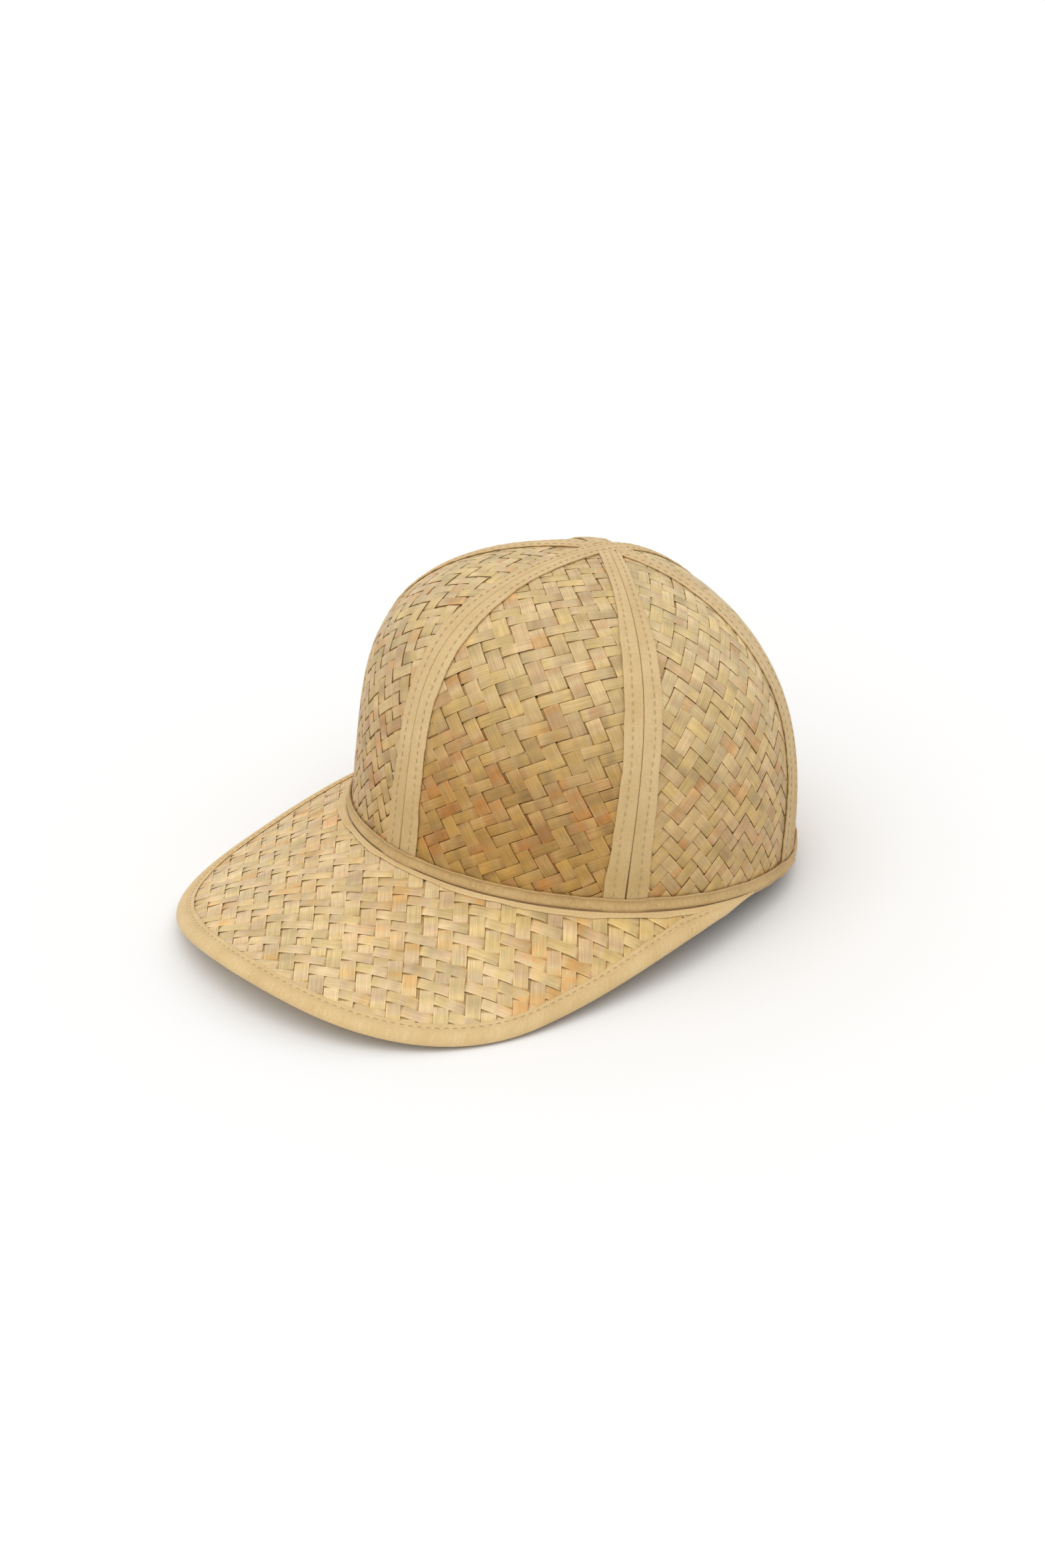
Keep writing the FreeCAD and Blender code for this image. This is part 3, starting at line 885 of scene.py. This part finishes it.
def seam_tape(name, bearing, side, start, end, seed, extra_row=False):
    """Makes a folded tape on one side of a seam, and returns its stitches."""
    count = int((end - start) * SECTIONS_PER_RADIAN)
    elevation = np.linspace(start, end, count)[:, None]
    crest = seam_point(bearing, elevation, 0.0, 0.0)
    travel = np.linspace(0, MM_PER_RADIAN * (end - start), count)[:, None]
    wide = tape_width(crest[..., 2]) * (1 + 0.035 * ripple(travel, 34.0, seed))
    share, offset = TAPE_OUTER[:, 0], TAPE_OUTER[:, 1]
    pucker = 0.10 * ripple(travel, 6.5, seed + 1) * smooth(share, 0.3, 1.0) * (offset > 0)
    outer = (side * share * wide, offset + pucker)
    inner_share = np.clip(share, 0.07, 0.96)
    outer_leg = np.minimum(offset - TAPE_CLOTH, 0.3)
    inner_offset = np.where(offset > MID_WEAVE, outer_leg, offset + TAPE_CLOTH)
    inner_offset = np.where(np.abs(offset - MID_WEAVE) < 0.9, offset, inner_offset)
    inner = (side * inner_share * wide, np.broadcast_to(inner_offset, (count, len(share))))
    aside = np.concatenate([outer[0], inner[0][:, ::-1]], axis=1)
    parting = PARTING * (1 - smooth(crest[..., 2], 4.0, 30.0))
    aside = aside + side * parting * (1 - np.clip(np.abs(aside) / wide, 0.0, 1.0))
    height = np.concatenate([outer[1], inner[1][:, ::-1]], axis=1)
    sections = seam_point(bearing, elevation, aside, height)
    cloth_piece(name, sections, aside + height, seed, tape_cloth)
    rows = []
    for at in (TAPE_STITCH, SECOND_STITCH) if extra_row else (TAPE_STITCH,):
        drift = at + 0.05 * ripple(travel, 90.0, seed + 2)
        line = seam_point(bearing, elevation, side * drift * wide, STITCH_OFFSET)[:, 0]
        above = seam_point(bearing, elevation, side * drift * wide, STITCH_OFFSET + 1.0)[:, 0]
        rows.extend(stitch_row(line, above - line))
    return rows


def tape_end(bearing):
    """Elevation at which a side seam's tapes run in under the centre seam's."""
    elevation = np.linspace(math.pi / 4, math.pi / 2, 400)
    crest = seam_point(bearing, elevation, 0.0, 0.0)
    reach = np.hypot(crest[:, 0], crest[:, 1])
    clear = reach * math.sin(PANEL_SWEEP) > 0.9 * tape_width(crest[:, 2])
    return elevation[clear][-1]


stitches = []
over_the_apex = math.pi - hem_elevation(math.pi)
for side, name in ((1, "center_seam_tape_left"), (-1, "center_seam_tape_right")):
    stitches += seam_tape(name, 0.0, side, hem_elevation(0.0), over_the_apex, 50 + side, side < 0)
SIDE_SEAMS = {"left_front": 1, "left_back": 2, "right_back": 4, "right_front": 5}
for seam, place_index in SIDE_SEAMS.items():
    bearing = place_index * PANEL_SWEEP
    for side in (-1, 1):
        facing = "front" if (side < 0) == (place_index < 3) else "rear"
        name = f"{seam}_seam_tape_{facing}"
        seed = 60 + 5 * place_index + side
        extra_row = place_index in (1, 5)
        stitches += seam_tape(
            name, bearing, side, hem_elevation(bearing), tape_end(bearing), seed, extra_row
        )
make_piece("seam_stitches", joined(stitches), thread_and_hole_shade)


# The hem binding's section, as (offset, height).
HEM_SECTION = rounded(
    [
        *((0.1, 5.2), (0.3, 6.1), (0.9, 6.4), (1.3, 6.0), (0.6, 5.1), (0.8, 4.2)),
        *((1.4, 3.2), (1.75, 2.3), (1.5, 1.5), (0.8, 1.1), (0.6, 0.0), (0.3, -0.7)),
        *((-0.4, -0.85), (-1.6, -0.7), (-1.95, 0.3), (-1.9, 5.2), (-1.5, 5.35), (-1.3, 4.6)),
    ]
)


def ring_piece(name, section, count, seed, material, swell, wave):
    """A cloth ring round the hem, swelling over each seam's tapes, with a wavy outer face."""
    bearing = np.linspace(0, 2 * math.pi, count, endpoint=False)[:, None]
    travel = bearing * HALF_LENGTH
    seam_gap = (bearing + PANEL_SWEEP / 2) % PANEL_SWEEP - PANEL_SWEEP / 2
    bump = swell * (1 - smooth(np.abs(seam_gap) * HALF_LENGTH, 6.5, 10.5))
    short, long = (ripple(travel, 2 * math.pi * HALF_LENGTH / waves, seed) for waves in (31, 9))
    lap = wave * (short + long)
    upper = smooth(np.abs(section[:, 1] - 2.6), 0.3, 1.5) * (section[:, 0] > 0)
    offset = section[:, 0] + (bump + 0.5 * lap) * (section[:, 0] > 0)
    height = section[:, 1] + lap * upper
    sections = crown_ring(bearing, height, offset)
    return cloth_piece(name, sections, height + offset, seed, material, closed=True)


ring_piece("hem_binding", HEM_SECTION, 420, 81, hem_cloth, 0.75, 0.16)

BAND_SECTION = rounded(
    [
        *((-2.0, 0.2), (-1.95, 6.0), (-1.95, 14.0), (-2.0, 22.0), (-2.05, 29.2), (-2.5, 30.1)),
        *((-3.0, 29.2), (-3.05, 22.0), (-3.0, 14.0), (-3.05, 6.0), (-3.1, 0.9), (-2.6, -0.1)),
    ]
)
ring_piece("sweatband", BAND_SECTION, 300, 85, band_cloth, 0.0, 0.2)


def hem_stitches():
    """The row that sews the sweatband to the hem, seen from inside."""
    bearing = np.linspace(0, 2 * math.pi, 700)
    line = crown_ring(bearing, 2.6, -3.1)
    inward = crown_ring(bearing, 2.6, -4.1) - line
    return stitch_row(line, inward, 2.6, 1.4)


make_piece("sweatband_stitches", joined(hem_stitches()), thread_and_hole_shade)


def brim_strip(name, section_at, seed):
    """A cloth strip along the brim, from a function giving its section for a rim distance."""
    bearing = np.linspace(-BRIM_END, BRIM_END, 330)
    rims = rim_distance(bearing)
    sections, across = [], []
    for angle, rim in zip(bearing, rims):
        section = section_at(angle, rim)
        sections.append(brim_point(angle, section[:, 0], section[:, 1]))
        across.append(section[:, 0] + section[:, 1])
    return cloth_piece(name, np.array(sections), np.array(across), seed, brim_cloth)


def end_thickness(rim):
    """The brim thins towards its two ends, where it goes in under the hem."""
    return BRIM_THICKNESS * (0.15 + 0.85 * float(smooth(rim, 0.2, 4.0)))


def edge_section(angle, rim):
    """The tape folded over the rim: a flat, stitched flange, a rounded roll, and the same below."""
    travel = angle * HALF_LENGTH * 1.6
    leg = min(6.6 + 0.25 * float(ripple(travel, 40.0, 91)), 0.62 * max(rim, 0.3))
    share = min(1.0, leg / 5.0)
    pucker = 0.09 * float(ripple(travel, 7.0, 92)) * share
    low = -end_thickness(rim)
    middle = low / 2
    roll = 1.05 * share
    flange = [
        (leg, 0.0),
        (leg, 0.3 + pucker),
        (0.86 * leg, 0.52 + pucker),
        (0.72 * leg, 0.34),
        (0.6 * leg, 0.42 + pucker),
    ]
    fold = [
        (0.54 * leg, 0.75 * roll),
        (0.4 * leg, roll),
        (0.22 * leg, roll),
        (0.06 * leg, 0.45 * roll),
        (-0.35 * share, middle + 0.8 * share),
        (-0.35 * share, middle - 0.8 * share),
    ]
    below = [
        (0.06 * leg, low - 0.2 * share),
        (0.25 * leg, low - 0.45 * share),
        (0.55 * leg, low - 0.4 * share),
        (0.75 * leg, low - 0.15),
        (leg, low - 0.25),
        (leg, low),
    ]
    outer = flange + fold + below
    inner = [
        (0.9 * leg, low),
        (0.1 * leg, low),
        (0.05 * leg, middle),
        (0.1 * leg, 0.0),
        (0.9 * leg, 0.0),
    ]
    section = np.concatenate([rounded(outer), inner])
    return np.stack([rim - section[:, 0], section[:, 1]], axis=1)


def inner_section(angle, rim):
    """The narrow tape on the brim's inner edge, lying against the hem."""
    travel = angle * HALF_LENGTH
    widened = 1.3 * float(smooth(-angle, 0.2, 0.9))
    wide = min(2.8 + 0.4 * float(ripple(travel, 45.0, 95)) + widened, 0.42 * rim)
    wide = max(wide, 0.15)
    share = min(1.0, wide / 2.0)
    pucker = 0.08 * float(ripple(travel, 5.0, 96)) * share
    bottom = -end_thickness(rim)
    low = bottom - 0.6 * share
    outer = [
        (wide, 0.0),
        (wide, 0.35 * share + pucker),
        (0.88 * wide, 0.62 * share + pucker),
        (0.6 * wide, 0.42 * share),
        (0.42 * wide, 0.52 * share),
        (0.22 * wide, 0.3 * share),
        (0.0, -0.3 * share),
        (-0.1, 0.8 * bottom),
        (0.0, low),
        (0.9 * wide, low),
        (wide, bottom - 0.1),
    ]
    inner = [(0.9 * wide, bottom), (0.4 * wide, bottom), (0.4 * wide, 0.0), (0.9 * wide, 0.0)]
    return np.concatenate([rounded(outer), inner])


brim_strip("brim_edge_binding", edge_section, 93)
brim_strip("brim_inner_binding", inner_section, 94)


def brim_stitches():
    """A row of stitches along the edge binding, above the brim and below it."""
    bearing = np.linspace(-math.radians(83), math.radians(83), 500)
    rim = rim_distance(bearing)
    inset = rim - np.minimum(4.75, 0.42 * rim)
    rows = []
    for lift, above in ((0.42, 1.0), (-BRIM_THICKNESS - 0.22, -1.0)):
        line = brim_point(bearing, inset, lift)
        rows += stitch_row(line, brim_point(bearing, inset, lift + above) - line)
    return rows


make_piece("brim_stitches", joined(brim_stitches()), thread_and_hole_shade)


# ---- Floor, light and camera ------------------------------------------------------------------

FLOOR_HALF = 30.0
floor_signs = ((-1, -1), (1, -1), (1, 1), (-1, 1))
floor_corners = [(x * FLOOR_HALF, y * FLOOR_HALF, 0.0) for x, y in floor_signs]
floor_mesh = bpy.data.meshes.new("floor")
floor_mesh.from_pydata(floor_corners, [], [(0, 1, 2, 3)])
floor_paint = plain_material("floor", (0.90, 0.90, 0.90), (0.91, 0.91, 0.91), 2.0, 0.9)
floor_mesh.materials.append(floor_paint)
floor = bpy.data.objects.new("floor", floor_mesh)
bpy.context.scene.collection.objects.link(floor)
floor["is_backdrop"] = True


def sun_light(name, direction, power, softness, colour):
    """A very large soft light, far away in a direction from the hat."""
    data = bpy.data.lights.new(name, "SUN")
    data.energy = power
    data.angle = math.radians(softness)
    data.color = colour
    light = bpy.data.objects.new(name, data)
    bpy.context.scene.collection.objects.link(light)
    light.rotation_euler = Vector(direction).to_track_quat("Z", "Y").to_euler()


sun_light("key", (0.35, -0.75, 1.3), 1.02, 75.0, (1.0, 0.985, 0.96))
sun_light("overhead", (-0.3, 0.4, 1.6), 0.5, 110.0, (1.0, 1.0, 1.0))
WORLD_STRENGTH = 0.71
world = bpy.data.worlds.new("studio")
bpy.context.scene.world = world
world.use_nodes = True
background = world.node_tree.nodes["Background"]
background.inputs["Color"].default_value = WHITE
background.inputs["Strength"].default_value = WORLD_STRENGTH

# The camera looks at a point on the crown's axis, from the wearer's left and front.
CAMERA_AZIMUTH = math.radians(47.96)
CAMERA_ELEVATION = math.radians(25.76)
CAMERA_ROLL = math.radians(-0.36)
CAMERA_DISTANCE = 1.2246
CAMERA_LENS = 69.55
CAMERA_SHIFT = (-0.0319, -0.0456)
camera_target = Vector(HAT_BASE) + Vector((0.0, 0.0004, 0.05))
level = math.cos(CAMERA_ELEVATION)
backward = Vector(
    (math.sin(CAMERA_AZIMUTH) * level, -math.cos(CAMERA_AZIMUTH) * level, math.sin(CAMERA_ELEVATION))
)
right = Vector((math.cos(CAMERA_AZIMUTH), math.sin(CAMERA_AZIMUTH), 0.0))
upward = backward.cross(right)
turn = Matrix.Rotation(CAMERA_ROLL, 3, backward)
axes = Matrix((turn @ right, turn @ upward, backward)).transposed()
camera_data = bpy.data.cameras.new("camera")
camera_data.lens = CAMERA_LENS
camera_data.shift_x, camera_data.shift_y = CAMERA_SHIFT
camera = bpy.data.objects.new("camera", camera_data)
bpy.context.scene.collection.objects.link(camera)
camera.matrix_world = Matrix.Translation(camera_target + backward * CAMERA_DISTANCE) @ axes.to_4x4()
bpy.context.scene.camera = camera
bpy.context.scene.view_settings.view_transform = "Standard"

boxes = {"cad": cad_box, "visual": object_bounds()}
{key: [list(corner) for corner in box] for key, box in boxes.items()}
